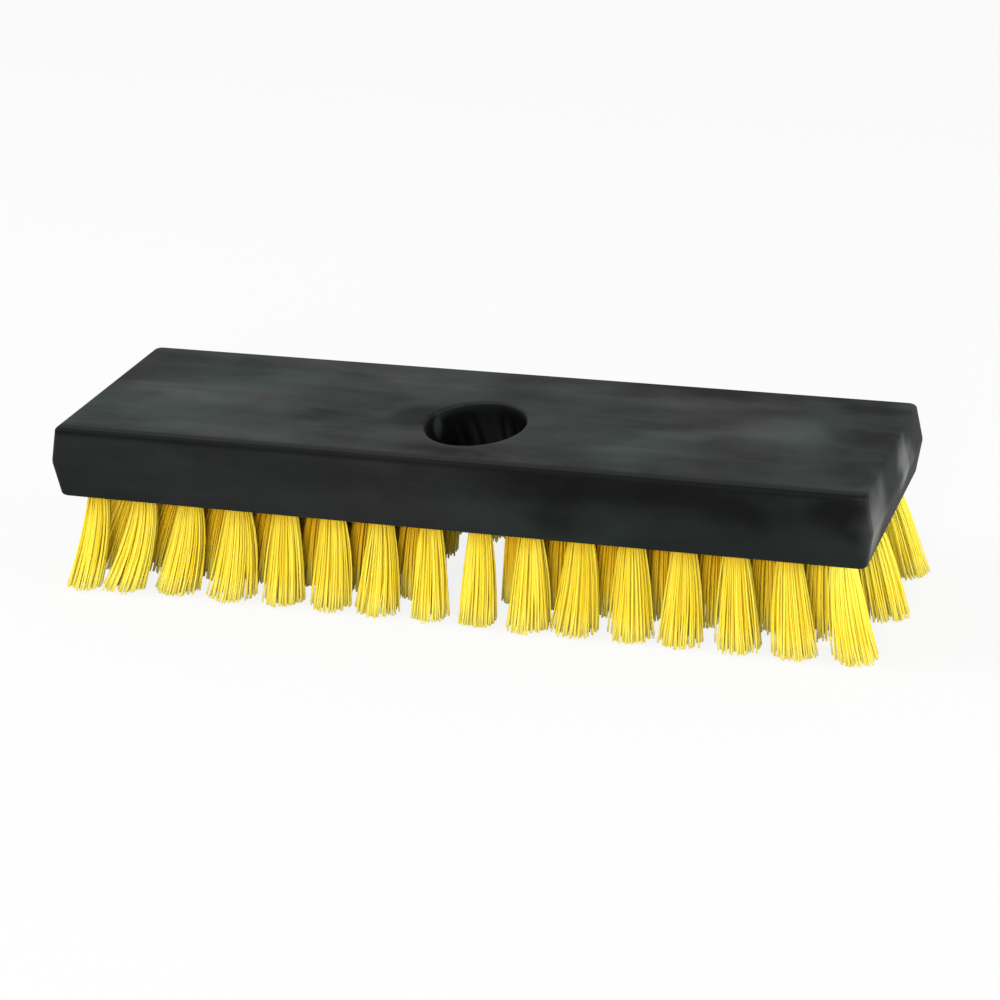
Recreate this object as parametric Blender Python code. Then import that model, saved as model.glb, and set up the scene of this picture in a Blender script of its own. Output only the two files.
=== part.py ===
"""Deck scrub brush head.

A moulded plastic block with a leaning, tapered handle socket, and 74 tufts of stiff bristle set in
its underside in five staggered rows. The origin is on the floor under the middle of the head, +X
runs along the block, +Y points away from the person scrubbing, and +Z is up. Lengths are in metres.

The block's outline is lofted from rounded rectangles. Its ends and sides are widest at mid height,
where the two halves of the mould met, and draw in evenly to the top and the underside. The bottom
layer of the block, where the tufts are set, is cut into slices, one for each column of tufts, and
every slice carries its own tufts.
"""

import math

import bmesh
import bpy
from mathutils import Vector

# The block
BLOCK_LENGTH = 0.2540
BLOCK_WIDTH = 0.0762
BLOCK_HEIGHT = 0.022225
END_DRAFT = 0.0020
SIDE_DRAFT = 0.0006
CORNER_RADIUS = 0.0020
TOP_EDGE_RADIUS = 0.0011
BOTTOM_EDGE_RADIUS = 0.0018

# The handle socket, measured square to its axis
SOCKET_MOUTH_DIAMETER = 0.0306
SOCKET_END_DIAMETER = 0.0222
SOCKET_LEAN_DEGREES = 30.0
SOCKET_RIM_RADIUS = 0.0012
SOCKET_WALL = 0.0008

# The tufts and where they are set
TRIM = 0.03175
ROWS = 5
TUFTS_PER_ROW = 16
TUFT_PITCH = 0.01555
ROW_MARGIN = 0.0102
END_FLARE = 0.0058
ROW_FLARE = 0.0015
TUFT_HOLE_DIAMETER = 0.00635
TUFT_HOLE_RECESS = 0.0012
TUFT_TIP_LENGTH = 0.0140
TUFT_TIP_WIDTH = 0.0104

# The strands of one tuft, each a bunch of filaments of square section
RING_STRANDS = 4
STRAND_ROOT_WIDTH = 0.0015
STRAND_TIP_WIDTH = 0.0031
STRAND_ANCHOR = 0.0008
CUT_DEPTH = 0.0005

# The slices of backing
SLICE_DEPTH = 0.0030
SLICE_MARGIN = 0.0010
CLEARANCE = 0.0003

# How finely round shapes are drawn
CORNER_STEPS = 4
EDGE_STEPS = 3
SOCKET_SIDES = 32
TUFT_HOLE_SIDES = 8

# Heights at which a tuft's place is held against the leaning socket
SOCKET_CHECKS = 7

# Heights
UNDERSIDE = TRIM
TOP = TRIM + BLOCK_HEIGHT
MIDDLE = TRIM + BLOCK_HEIGHT / 2
SLICE_ROOF = UNDERSIDE + SLICE_DEPTH

# How far a cutting tool runs past the face that it cuts through
OVERCUT = 0.0020

SOCKET_LEAN = math.radians(SOCKET_LEAN_DEGREES)
ROW_PITCH = (BLOCK_WIDTH - 2 * ROW_MARGIN) / (ROWS - 1)
COLUMN_PITCH = TUFT_PITCH / 2
COLUMNS = 2 * TUFTS_PER_ROW - 1
OUTER_X = (TUFTS_PER_ROW - 1) * TUFT_PITCH / 2
OUTER_Y = (ROWS - 1) * ROW_PITCH / 2
SLICE_EDGE = OUTER_Y + TUFT_HOLE_DIAMETER / 2 + SLICE_MARGIN
SLICE_WIDTH = COLUMN_PITCH - CLEARANCE


def clear_scene():
    """Remove every object that the file opened with."""
    for thing in list(bpy.data.objects):
        bpy.data.objects.remove(thing, do_unlink=True)


def principled(name, colour, roughness):
    """A plastic with one colour and roughness."""
    material = bpy.data.materials.new(name)
    material.use_nodes = True
    shader = material.node_tree.nodes["Principled BSDF"]
    shader.inputs["Base Color"].default_value = (*colour, 1.0)
    shader.inputs["Roughness"].default_value = roughness
    shader.inputs["Metallic"].default_value = 0.0
    material.diffuse_color = (*colour, 1.0)
    return material


def mesh_object(name, vertices, faces, materials):
    """An object made from vertices and faces, with its faces turned outwards."""
    mesh = bpy.data.meshes.new(name)
    mesh.from_pydata(vertices, [], faces)
    shape = bmesh.new()
    shape.from_mesh(mesh)
    bmesh.ops.recalc_face_normals(shape, faces=shape.faces)
    shape.to_mesh(mesh)
    shape.free()
    for material in materials:
        mesh.materials.append(material)
    thing = bpy.data.objects.new(name, mesh)
    bpy.context.scene.collection.objects.link(thing)
    return thing


def loft(rings):
    """Vertices and faces of a closed solid through a stack of rings with equal point counts."""
    count = len(rings[0])
    vertices = [point for ring in rings for point in ring]
    faces = [tuple(range(count)), tuple(range(len(vertices) - count, len(vertices)))]
    for level in range(len(rings) - 1):
        low = level * count
        high = low + count
        for i in range(count):
            j = (i + 1) % count
            faces.append((low + i, low + j, high + j, high + i))
    return vertices, faces


def join_solids(solids):
    """One list of vertices and faces for several separate solids."""
    vertices = []
    faces = []
    for solid_vertices, solid_faces in solids:
        first = len(vertices)
        vertices += solid_vertices
        faces += [tuple(first + i for i in face) for face in solid_faces]
    return vertices, faces


def box(low, high):
    """The solid box between two opposite corners."""
    rings = []
    for z in (low[2], high[2]):
        rings.append([(low[0], low[1], z), (high[0], low[1], z), (high[0], high[1], z), (low[0], high[1], z)])
    return loft(rings)


def as_cutter(thing, target):
    """Keep a cutting or joining shape out of the picture, carried by the piece it works on."""
    thing.hide_render = True
    thing.display_type = "WIRE"
    thing.parent = target
    return thing


def combine(target, tool, operation, self_overlap=False):
    """Cut a shape from the target, or join one to it. Each face keeps its own material."""
    modifier = target.modifiers.new(f"{operation.lower()} {tool.name}", "BOOLEAN")
    modifier.operation = operation
    modifier.solver = "EXACT"
    modifier.material_mode = "TRANSFER"
    modifier.use_self = self_overlap
    modifier.object = as_cutter(tool, target)


# The block


def drawn_in(z, draft):
    """How far a side has drawn in at height z from its ridge at mid height.

    The side falls back evenly both ways, by its whole draft at the top and the underside.
    """
    return draft * abs(z - MIDDLE) / (BLOCK_HEIGHT / 2)


def rounded_rectangle(half_length, half_width, radius, z):
    """The corners are quarter circles, and the points run anticlockwise seen from above."""
    points = []
    for side_x, side_y, start in ((1, 1, 0), (-1, 1, 90), (-1, -1, 180), (1, -1, 270)):
        for step in range(CORNER_STEPS + 1):
            angle = math.radians(start + 90 * step / CORNER_STEPS)
            x = side_x * (half_length - radius) + radius * math.cos(angle)
            y = side_y * (half_width - radius) + radius * math.sin(angle)
            points.append((x, y, z))
    return points


def block_levels():
    """The heights of the block's sections, each with how far its edge rounding draws it in."""
    levels = []
    for step in range(EDGE_STEPS + 1):
        angle = math.radians(90 * step / EDGE_STEPS)
        rise = BOTTOM_EDGE_RADIUS * (1 - math.cos(angle))
        levels.append((UNDERSIDE + rise, BOTTOM_EDGE_RADIUS * (1 - math.sin(angle))))
    levels.append((MIDDLE, 0.0))
    for step in range(EDGE_STEPS + 1):
        angle = math.radians(90 * step / EDGE_STEPS)
        drop = TOP_EDGE_RADIUS * (1 - math.sin(angle))
        levels.append((TOP - drop, TOP_EDGE_RADIUS * (1 - math.cos(angle))))
    return levels


def block_solid():
    """The block's outer form, without its socket or its pocket."""
    rings = []
    for z, inset in block_levels():
        half_length = BLOCK_LENGTH / 2 - drawn_in(z, END_DRAFT) - inset
        half_width = BLOCK_WIDTH / 2 - drawn_in(z, SIDE_DRAFT) - inset
        rings.append(rounded_rectangle(half_length, half_width, CORNER_RADIUS, z))
    return loft(rings)


# The handle socket


def socket_centre(z):
    """Where the socket's axis is in Y at height z. It passes through the middle of the block."""
    return (MIDDLE - z) * math.tan(SOCKET_LEAN)


def socket_radius(z):
    """The socket narrows evenly from its mouth in the top face to its end in the underside."""
    share = (z - UNDERSIDE) / BLOCK_HEIGHT
    return (SOCKET_END_DIAMETER + (SOCKET_MOUTH_DIAMETER - SOCKET_END_DIAMETER) * share) / 2


def socket_axes(z, extra=0.0):
    """The half widths in X and Y of the socket's section at height z, grown by an extra wall.

    A level cut through a leaning round hole is an ellipse, longer the way the hole leans.
    """
    radius = socket_radius(z)
    return radius + extra, radius / math.cos(SOCKET_LEAN) + extra


def socket_section(z, flare):
    """The outline of the socket at height z, opened out by its rounded rim."""
    half_x, half_y = socket_axes(z, flare)
    points = []
    for side in range(SOCKET_SIDES):
        angle = 2 * math.pi * side / SOCKET_SIDES
        points.append((half_x * math.cos(angle), socket_centre(z) + half_y * math.sin(angle), z))
    return points


def socket_solid():
    """The space that the handle's tapered end goes into, right through the block."""
    rings = [socket_section(UNDERSIDE - OVERCUT, 0.0), socket_section(TOP - SOCKET_RIM_RADIUS, 0.0)]
    for step in range(1, EDGE_STEPS + 1):
        angle = math.radians(90 * step / EDGE_STEPS)
        z = TOP - SOCKET_RIM_RADIUS * (1 - math.sin(angle))
        rings.append(socket_section(z, SOCKET_RIM_RADIUS * (1 - math.cos(angle))))
    mouth = [Vector(point) for point in rings[-1]]
    rings.append([tuple(point + Vector((0, 0, OVERCUT))) for point in mouth])
    return loft(rings)


def under_socket(x, y):
    """Whether a tuft set here would stand right under the socket, where it can't be anchored."""
    for step in range(SOCKET_CHECKS):
        z = UNDERSIDE + BLOCK_HEIGHT * step / (SOCKET_CHECKS - 1)
        half_x, half_y = socket_axes(z)
        if (x / half_x) ** 2 + ((y - socket_centre(z)) / half_y) ** 2 < 1:
            return True
    return False


def socket_parts(x, y_low, y_high):
    """Whether the socket comes between two tufts of one column, in the depth of the slices."""
    for z in (UNDERSIDE, SLICE_ROOF + CLEARANCE):
        half_x, half_y = socket_axes(z, SLICE_WIDTH / 2 + CLEARANCE + SOCKET_WALL)
        nearest = min(max(socket_centre(z), y_low), y_high)
        if (x / half_x) ** 2 + ((nearest - socket_centre(z)) / half_y) ** 2 < 1:
            return True
    return False


# The tufts


def column_tufts(column):
    """The places of the tufts in one column. Every second row is shifted by half a pitch."""
    x = (column - (COLUMNS - 1) / 2) * COLUMN_PITCH
    places = []
    for row in range(ROWS):
        if (row + column) % 2 == 0:
            y = (row - (ROWS - 1) / 2) * ROW_PITCH
            if not under_socket(x, y):
                places.append((x, y))
    return places


def column_runs(places):
    """Part a column's tufts into the runs that one unbroken slice can carry past the socket."""
    runs = []
    for place in places:
        if runs and not socket_parts(place[0], runs[-1][-1][1], place[1]):
            runs[-1].append(place)
        else:
            runs.append([place])
    return runs


def slice_extent(runs, index):
    """The slice's two ends in Y. It reaches the pocket's edge unless the socket is in the way."""
    reach = TUFT_HOLE_DIAMETER / 2 + SLICE_MARGIN
    low = -SLICE_EDGE if index == 0 else runs[index][0][1] - reach
    high = SLICE_EDGE if index == len(runs) - 1 else runs[index][-1][1] + reach
    return low, high


def tuft_lean(x, y):
    """How far a tuft's tip stands out from its root. The lean grows quickly towards the ends."""
    share_x = x / OUTER_X
    share_y = y / OUTER_Y
    return END_FLARE * share_x ** 3, ROW_FLARE * share_y * abs(share_y)


def square(centre, width, turn, z):
    """A level square of the given width with its flats turned towards the tuft's middle."""
    corner = width / math.sqrt(2)
    points = []
    for quarter in range(4):
        angle = turn + math.radians(45 + 90 * quarter)
        points.append((centre[0] + corner * math.cos(angle), centre[1] + corner * math.sin(angle), z))
    return points


def strand(x, y, offset, direction, turn):
    """One straight strand from inside the slice to a little below the floor.

    The offset is 0 for the strand in the middle of its tuft and 1 for those around it.
    """
    lean_x, lean_y = tuft_lean(x, y)
    root_ring = offset * (TUFT_HOLE_DIAMETER / 2 - STRAND_ROOT_WIDTH)
    tip_x = offset * (TUFT_TIP_LENGTH - STRAND_TIP_WIDTH) / 2
    tip_y = offset * (TUFT_TIP_WIDTH - STRAND_TIP_WIDTH) / 2
    root = (x + root_ring * direction[0], y + root_ring * direction[1])
    tip = (x + lean_x + tip_x * direction[0], y + lean_y + tip_y * direction[1])
    root_height = UNDERSIDE + TUFT_HOLE_RECESS + STRAND_ANCHOR
    low = square(tip, STRAND_TIP_WIDTH, turn, -CUT_DEPTH)
    high = square(root, STRAND_ROOT_WIDTH, turn, root_height)
    return loft([low, high])


def tuft_strands(x, y):
    """The strands of one tuft: one in the middle and a ring around it, mirrored left and right."""
    side_x = -1 if x < 0 else 1
    side_y = -1 if y < 0 else 1
    twist = math.radians(23.0) * (round(abs(x) / COLUMN_PITCH) % 4)
    solids = [strand(x, y, 0, (0, 0), side_x * side_y * twist)]
    for index in range(RING_STRANDS):
        angle = twist + 2 * math.pi * index / RING_STRANDS
        direction = (side_x * math.cos(angle), side_y * math.sin(angle))
        solids.append(strand(x, y, 1, direction, math.atan2(direction[1], direction[0])))
    return solids


def cut_flat(thing):
    """Trim the strands on the floor plane, so that the head stands on their flat ends."""
    shape = bmesh.new()
    shape.from_mesh(thing.data)
    everything = shape.verts[:] + shape.edges[:] + shape.faces[:]
    cut = bmesh.ops.bisect_plane(
        shape, geom=everything, plane_co=(0, 0, 0), plane_no=(0, 0, -1), clear_outer=True)
    edges = [part for part in cut["geom_cut"] if isinstance(part, bmesh.types.BMEdge)]
    bmesh.ops.holes_fill(shape, edges=edges, sides=4)
    bmesh.ops.recalc_face_normals(shape, faces=shape.faces)
    shape.to_mesh(thing.data)
    shape.free()


def tuft_hole(x, y):
    """The open end of the hole that a tuft is set in."""
    rings = []
    for z in (UNDERSIDE - OVERCUT, UNDERSIDE + TUFT_HOLE_RECESS):
        ring = []
        for side in range(TUFT_HOLE_SIDES):
            angle = 2 * math.pi * (side + 0.5) / TUFT_HOLE_SIDES
            radius = TUFT_HOLE_DIAMETER / 2
            ring.append((x + radius * math.cos(angle), y + radius * math.sin(angle), z))
        rings.append(ring)
    return loft(rings)


def build_slice(name, run, extent, plastic, bristle):
    """A slice of the block's backing with its tufts, as one solid."""
    x = run[0][0]
    low = (x - SLICE_WIDTH / 2, extent[0], UNDERSIDE)
    high = (x + SLICE_WIDTH / 2, extent[1], SLICE_ROOF)
    backing = mesh_object(name, *box(low, high), [plastic])
    holes = mesh_object(f"{name} holes", *join_solids([tuft_hole(*place) for place in run]), [plastic])
    combine(backing, holes, "DIFFERENCE")
    solids = [solid for place in run for solid in tuft_strands(*place)]
    strands = mesh_object(f"{name} strands", *join_solids(solids), [bristle])
    cut_flat(strands)
    combine(backing, strands, "UNION")
    return low, high


def build_tufts(plastic, bristle):
    """Build every slice, and return the boxes that they fill."""
    filled = []
    for column in range(COLUMNS):
        runs = column_runs(column_tufts(column))
        for index, run in enumerate(runs):
            name = f"tufts_c{column + 1:02d}"
            if len(runs) > 1:
                name += ("_front", "_back")[index > 0]
            filled.append(build_slice(name, run, slice_extent(runs, index), plastic, bristle))
    return filled


def pocket_solid(filled):
    """The space that the slices lie in: each slice with its clearance, open at the underside."""
    solids = []
    for low, high in filled:
        corner_low = (low[0] - CLEARANCE, low[1] - CLEARANCE, UNDERSIDE - OVERCUT)
        corner_high = (high[0] + CLEARANCE, high[1] + CLEARANCE, SLICE_ROOF + CLEARANCE)
        solids.append(box(corner_low, corner_high))
    return join_solids(solids)


def build_block(plastic, filled):
    """The block with its socket and the pocket for its slices."""
    block = mesh_object("block", *block_solid(), [plastic])
    combine(block, mesh_object("pocket", *pocket_solid(filled), [plastic]), "DIFFERENCE", True)
    combine(block, mesh_object("socket", *socket_solid(), [plastic]), "DIFFERENCE")
    block.data.shade_smooth()
    block.data.set_sharp_from_angle(angle=math.radians(25))
    return block


def main():
    """Build the whole head."""
    clear_scene()
    plastic = principled("black_plastic", (0.030, 0.033, 0.032), 0.48)
    bristle = principled("yellow_bristle", (0.86, 0.68, 0.02), 0.42)
    filled = build_tufts(plastic, bristle)
    build_block(plastic, filled)
    print(f"{len(filled)} slices of tufts in one block")


main()
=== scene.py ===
# %% [markdown]
# # A deck scrub brush head
#
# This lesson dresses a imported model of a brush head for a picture: a moulded black block with a
# leaning socket for its handle, and 74 tufts of stiff yellow filament set in its underside.
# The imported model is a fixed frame. It says where everything is, so the pieces made here are
# worked out from the same measures and need no fitting. Lengths are in metres, the origin is on
# the floor under the middle of the head, X runs along the block and Z is up.

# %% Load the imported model
import math

import bpy
import numpy as np
from mathutils import Matrix


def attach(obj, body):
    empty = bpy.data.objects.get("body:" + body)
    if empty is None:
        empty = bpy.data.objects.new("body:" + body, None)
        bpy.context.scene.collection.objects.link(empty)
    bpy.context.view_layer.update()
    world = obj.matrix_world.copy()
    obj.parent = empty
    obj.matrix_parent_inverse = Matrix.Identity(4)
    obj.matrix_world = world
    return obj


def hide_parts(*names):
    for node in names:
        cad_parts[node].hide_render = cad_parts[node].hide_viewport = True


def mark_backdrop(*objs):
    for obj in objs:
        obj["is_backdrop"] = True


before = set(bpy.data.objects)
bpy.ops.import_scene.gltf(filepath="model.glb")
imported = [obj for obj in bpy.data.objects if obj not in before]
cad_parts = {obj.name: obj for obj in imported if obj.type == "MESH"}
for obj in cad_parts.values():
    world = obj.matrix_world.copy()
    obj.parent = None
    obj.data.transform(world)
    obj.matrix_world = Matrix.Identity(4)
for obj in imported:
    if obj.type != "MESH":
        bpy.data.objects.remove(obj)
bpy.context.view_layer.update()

print(f"{len(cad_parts)} nodes in the packed model")

# %% [markdown]
# ## The measures
#
# A maker knows this head by a few sizes: a block of 10 by 3 inches and 7/8 inch thick, bristles
# cut 1-1/4 inch below it, and a tapered hole for a handle of 1-1/8 inch. The other numbers say
# how the mould rounds the block and draws in its sides, and where the tufts are set. They are the
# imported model's own values, so each piece lands where the frame has it. Three follow the
# photograph instead: the bottom edge is sharper, the tips of a tuft spread over a rounder area,
# and the outer rows lean further out.

# %% Measures of the real head
BLOCK = np.array([0.2540, 0.0762, 0.022225])
TRIM = 0.03175
END_DRAFT, SIDE_DRAFT = 0.0020, 0.0006
CORNER_RADIUS = 0.0020
TOP_ROUNDING, BOTTOM_ROUNDING = 0.0011, 0.0010
MOUTH_DIAMETER, END_DIAMETER = 0.0306, 0.0222
LEAN = math.radians(30)
RIM_RADIUS = 0.0012
ROWS, COLUMNS = 5, 31
COLUMN_PITCH, ROW_PITCH = 0.007775, 0.01395
END_FLARE, ROW_FLARE = 0.0058, 0.0030
HOLE_DIAMETER = 0.00635
TIP_SIZE = np.array([0.0135, 0.0125])

UNDERSIDE, TOP = TRIM, TRIM + BLOCK[2]
MIDDLE = TRIM + BLOCK[2] / 2
print(f"block {np.round(BLOCK * 1000, 1)} mm, {TOP * 1000:.1f} mm high over the floor")

# %% [markdown]
# ## Meshes from whole arrays
#
# A surface is a function of two parameters, so its points come out as one grid of shape
# (rows, columns, 3). Where the surface closes on itself, the grid is wrapped round, and there is
# no seam to weld. Faces are four indices each, worked out for the whole grid at once. This is
# quicker than a loop over vertices and easier to read than pushing corners about one by one.

# %% Helpers that turn arrays into meshes
def grid_faces(rows, columns, wrap_rows=False, wrap_columns=False):
    """Four indices a face: each point with its neighbour in the row, and both one row further."""
    index = np.arange(rows * columns).reshape(rows, columns)
    if wrap_rows:
        index = np.vstack([index, index[:1]])
    if wrap_columns:
        index = np.hstack([index, index[:, :1]])
    corners = [index[:-1, :-1], index[:-1, 1:], index[1:, 1:], index[1:, :-1]]
    return np.stack(corners, axis=-1).reshape(-1, 4)


def mesh_piece(name, points, face_groups):
    """An object from points (n, 3) and groups of faces, each an array (faces, corners)."""
    mesh = bpy.data.meshes.new(name)
    points = np.ascontiguousarray(points, dtype=np.float32).reshape(-1, 3)
    corners = np.concatenate([group.ravel() for group in face_groups]).astype(np.int32)
    sizes = np.concatenate([np.full(len(group), group.shape[1]) for group in face_groups])
    starts = np.concatenate([[0], np.cumsum(sizes)[:-1]]).astype(np.int32)
    mesh.vertices.add(len(points))
    mesh.vertices.foreach_set("co", points.ravel())
    mesh.loops.add(len(corners))
    mesh.loops.foreach_set("vertex_index", corners)
    mesh.polygons.add(len(sizes))
    mesh.polygons.foreach_set("loop_start", starts)
    mesh.polygons.foreach_set("use_smooth", np.ones(len(sizes), dtype=bool))
    mesh.update(calc_edges=True)
    mesh.validate()
    piece = bpy.data.objects.new(name, mesh)
    bpy.context.scene.collection.objects.link(piece)
    return piece


def repeated_faces(first, *shapes):
    """The faces of one small mesh, again for each of its copies, whose first points are given."""
    return [(first[:, None, None] + faces).reshape(-1, faces.shape[1]) for faces in shapes]


# %% [markdown]
# ## Sums that build node trees
#
# A finish is a small calculation: one noise darkens another, a mask is one minus something.
# Written as Python sums it reads like the idea. The class below wraps a socket, and each
# operator adds the Math node that does it. Colours keep three channels only in Mix and Vector
# Math nodes, so they have a method of their own. Every other node comes from `node`.

# %% A socket that can be used in sums
class Wire:
    """An output socket of a node tree. A sum of wires and numbers adds Math nodes."""

    def __init__(self, tree, socket=None):
        self.tree, self.socket = tree, socket

    def node(self, kind, settings=None, sockets=None, output=0):
        """Add a node: settings first, then each socket's value or link. Returns one output."""
        made = self.tree.nodes.new(kind)
        for name, value in (settings or {}).items():
            setattr(made, name, value)
        for name, value in (sockets or {}).items():
            target = self.find(made.inputs, name)
            if isinstance(value, Wire):
                self.tree.links.new(value.socket, target)
            else:
                target.default_value = value
        return Wire(self.tree, self.find(made.outputs, output)) if len(made.outputs) else made

    @staticmethod
    def find(sockets, name):
        """A socket by its number, its identifier or its name."""
        if isinstance(name, int):
            return sockets[name]
        same = [socket for socket in sockets if socket.identifier == name]
        return same[0] if same else sockets[name]

    def maths(self, operation, *values, clamp=False):
        """A Math node on this wire and other wires or numbers."""
        settings = {"operation": operation, "use_clamp": clamp}
        return self.node("ShaderNodeMath", settings, dict(enumerate(values)))

    def __add__(self, other): return self.maths("ADD", self, other)
    def __radd__(self, other): return self.maths("ADD", other, self)
    def __sub__(self, other): return self.maths("SUBTRACT", self, other)
    def __rsub__(self, other): return self.maths("SUBTRACT", other, self)
    def __mul__(self, other): return self.maths("MULTIPLY", self, other)
    def __rmul__(self, other): return self.maths("MULTIPLY", other, self)
    def __truediv__(self, other): return self.maths("DIVIDE", self, other)
    def __pow__(self, other): return self.maths("POWER", self, other)

    def held(self):
        """This wire kept between 0 and 1."""
        return self.maths("ADD", self, 0.0, clamp=True)

    def band(self, low, high):
        """0 below the low value, 1 above the high one, and a smooth step between them."""
        settings = {"interpolation_type": "SMOOTHSTEP"}
        return self.node("ShaderNodeMapRange", settings, {"Value": self, "From Min": low, "From Max": high})

    def blend(self, first, second):
        """A colour: the first where this wire is 0, and the second where it is 1."""
        sockets = {"Factor_Float": self, "A_Color": first, "B_Color": second}
        return self.node("ShaderNodeMix", {"data_type": "RGBA"}, sockets, "Result_Color")


def new_finish(name):
    """An empty material, and a wire to add its nodes with."""
    material = bpy.data.materials.new(name)
    material.use_nodes = True
    material.node_tree.nodes.clear()
    return material, Wire(material.node_tree)


def object_place(wire):
    """Where a point of the surface is, in the object's own coordinates in metres."""
    return wire.node("ShaderNodeTexCoord", output="Object")


def part_of(wire, place, axes):
    """One or more of a place's coordinates, each as a wire of its own."""
    return [wire.node("ShaderNodeSeparateXYZ", sockets={0: place}, output=axis) for axis in axes]


# %% [markdown]
# ## The block's outline
#
# The block was moulded in two halves that met at mid height, so its ends and sides are fullest
# there and draw in evenly to the top and the bottom, which lets the halves come off. Where they
# met there is a soft ridge all round. Each level section is a rectangle with rounded corners, and
# the top and bottom edges are quarter circles. The outline is therefore a rounded rectangle
# carried up a profile, one ring for each height.

# %% Rings of the block's outline
CORNER_POINTS, SIDE_POINTS = 9, (64, 24)
RING_POINTS = 4 * CORNER_POINTS + 2 * sum(SIDE_POINTS)
CORNERS = ((1, 1, 0), (-1, 1, 90), (-1, -1, 180), (1, -1, 270))  # signs of X and Y, first angle


def drawn_in(z, draft):
    """How far a side has drawn in at height z: its draft times the distance from mid height."""
    return draft * abs(z - MIDDLE) / (BLOCK[2] / 2)


def outline_ring(z, inset):
    """A level ring: quarter circles at the corners, each followed by a straight run of points."""
    half = BLOCK[:2] / 2 - np.array([drawn_in(z, END_DRAFT), drawn_in(z, SIDE_DRAFT)]) - inset
    arcs = []
    for sign_x, sign_y, start in CORNERS:
        angle = np.radians(np.linspace(start, start + 90, CORNER_POINTS))
        centre = np.array([sign_x, sign_y]) * (half - CORNER_RADIUS)
        arcs.append(centre + CORNER_RADIUS * np.stack([np.cos(angle), np.sin(angle)], axis=1))
    points = []
    for index, arc in enumerate(arcs):
        share = np.linspace(0, 1, SIDE_POINTS[index % 2] + 2)[1:-1, None]
        points += [arc, arc[-1] + share * (arcs[(index + 1) % 4][0] - arc[-1])]
    ring = np.concatenate(points)
    return np.column_stack([ring, np.full(len(ring), z)])


print(f"{len(outline_ring(MIDDLE, 0.0))} points a ring")

# %% [markdown]
# ## The handle socket
#
# The handle leans 30 degrees from upright, and it holds by a taper alone, so the socket is a
# leaning cone that narrows on its way down. Cut level, a leaning round hole is an ellipse,
# longer the way it leans. Low ribs run down the wall, as they do in many moulded sockets: they
# bite into the wooden handle. A cutter and a Boolean could make this hole, but its rounded rim
# and ribs are smoother as rings of the same surface that goes over the top of the block. Each
# ring starts near the corner where the outline's rings start, so the surface isn't twisted.

# %% Rings of the socket
RIBS, RIB_HEIGHT = 18, 0.00035
RIBS_START, RIBS_FADE = 0.0040, 0.0040
BEFORE_CORNER = 0.12
RING_START = math.atan2(BLOCK[1], BLOCK[0]) - BEFORE_CORNER


def socket_centre(z):
    """Where the leaning axis is in Y at height z. It passes through the middle of the block."""
    return (MIDDLE - z) * math.tan(LEAN)


def socket_radius(z):
    """The radius square to the axis, from the end's at the underside to the mouth's at the top."""
    share = (z - UNDERSIDE) / BLOCK[2]
    return (END_DIAMETER + (MOUTH_DIAMETER - END_DIAMETER) * share) / 2


def socket_ring(z, flare=0.0, ribs=0.0):
    """An ellipse, opened out by the rim's flare and drawn in by the ribs, squared half cosines."""
    angle = RING_START + 2 * np.pi * np.arange(RING_POINTS) / RING_POINTS
    rib = ribs * RIB_HEIGHT * (0.5 + 0.5 * np.cos(RIBS * angle)) ** 2
    half_x = socket_radius(z) + flare - rib
    half_y = socket_radius(z) / math.cos(LEAN) + flare - rib
    return np.column_stack([half_x * np.cos(angle), socket_centre(z) + half_y * np.sin(angle),
                            np.full(RING_POINTS, z)])


# %% [markdown]
# ## The block as one closed surface
#
# Walk once round the block's section: up the outer side, over the top to the rim, down the
# socket, and back along the underside to the start. Every stop on the walk is a ring with the
# same number of points, and between the outline and the rim the rings are blends of both. The
# walk ends where it began and so does each ring, so the surface closes both ways, like a ring
# doughnut, and nothing has to be capped or welded. The lists of shares say where the rings
# between two places lie. They are closer together beside an edge, which keeps its shading crisp.

# %% Build the block
BOTTOM_STEPS, TOP_STEPS, RIM_STEPS, WALL_RINGS = 7, 6, 6, 15
SIDE_SHARES = [0.17, 0.34, 0.51, 0.68, 0.84, 0.95]
TOP_SHARES = [0.006, 0.02, 0.1, 0.25, 0.4, 0.55, 0.7, 0.85, 0.96, 0.99]
UNDERSIDE_SHARES = [0.02, 0.1, 0.3, 0.5, 0.7, 0.9, 0.98, 0.994]
END_BEVEL = 0.0004


def quarter(steps):
    """Angles from 0 to 90 degrees in equal steps."""
    return np.radians(np.linspace(0, 90, steps + 1))


def blend_rings(first, last, shares):
    """Rings between two rings: a share of 0 is the first and 1 is the last."""
    return [first + share * (last - first) for share in shares]


def outer_rings():
    """Up the outer side: the bottom edge's quarter circle, two halves of side, and the top edge's."""
    low, high = UNDERSIDE + BOTTOM_ROUNDING, TOP - TOP_ROUNDING
    rings = []
    for angle in quarter(BOTTOM_STEPS):
        z = UNDERSIDE + BOTTOM_ROUNDING * (1 - np.cos(angle))
        rings.append(outline_ring(z, BOTTOM_ROUNDING * (1 - np.sin(angle))))
    rings += [outline_ring(low + share * (MIDDLE - low), 0.0) for share in SIDE_SHARES]
    rings += [outline_ring(high + share * (MIDDLE - high), 0.0) for share in SIDE_SHARES[::-1]]
    for angle in quarter(TOP_STEPS):
        z = high + TOP_ROUNDING * np.sin(angle)
        rings.append(outline_ring(z, TOP_ROUNDING * (1 - np.cos(angle))))
    return rings


def wall_rings():
    """Down the socket's wall. The ribs begin below the rim and rise by a squared sine."""
    first_wall, last_wall = TOP - RIM_RADIUS, UNDERSIDE + END_BEVEL
    rings = []
    for share in np.linspace(0, 1, WALL_RINGS + 2)[1:-1]:
        z = first_wall + share * (last_wall - first_wall)
        begun = min(max((TOP - RIBS_START - z) / RIBS_FADE, 0), 1)
        rings.append(socket_ring(z, 0.0, math.sin(math.pi * begun / 2) ** 2))
    return rings


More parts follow.
